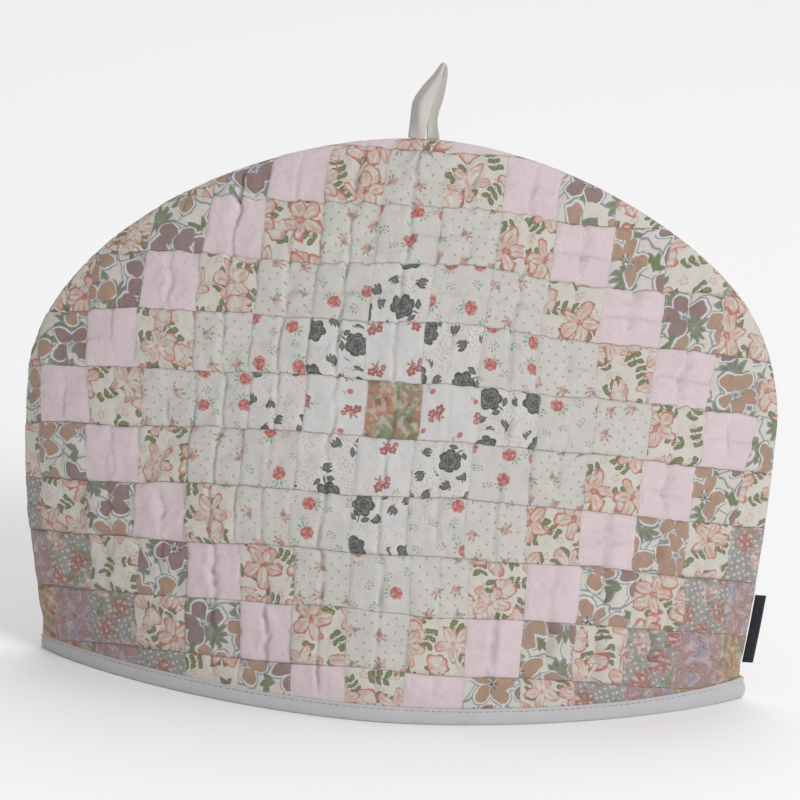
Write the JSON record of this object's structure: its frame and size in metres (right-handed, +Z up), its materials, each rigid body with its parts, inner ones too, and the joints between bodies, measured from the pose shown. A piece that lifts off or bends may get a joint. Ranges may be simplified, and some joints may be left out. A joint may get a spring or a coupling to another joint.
{
  "type": "tea cosy",
  "caption": "Dome-shaped quilted patchwork cover that stands on its bound hem over a teapot, with a tape loop on its ridge and a flat tab in its side seam.",
  "frame": {"origin": "centre of the bounding box in plan, on the surface that the hem stands on", "axes": "+X along the cosy's width towards the side tab, +Y from the front panel through to the back panel, +Z up"},
  "size_m": [0.3338, 0.1588, 0.2785],
  "materials": {
    "patchwork": "printed quilting cotton in small squares, matte",
    "binding": "plain off-white cotton, topstitched, matte",
    "tape": "plain off-white folded cotton tape, matte",
    "tab": "plain navy woven tape, slight sheen"
  },
  "bodies": {
    "root": {"front_panel": "patchwork", "back_panel": "patchwork", "hem_binding": "binding", "top_loop": "tape", "side_tab": "tab"}
  },
  "joints": []
}
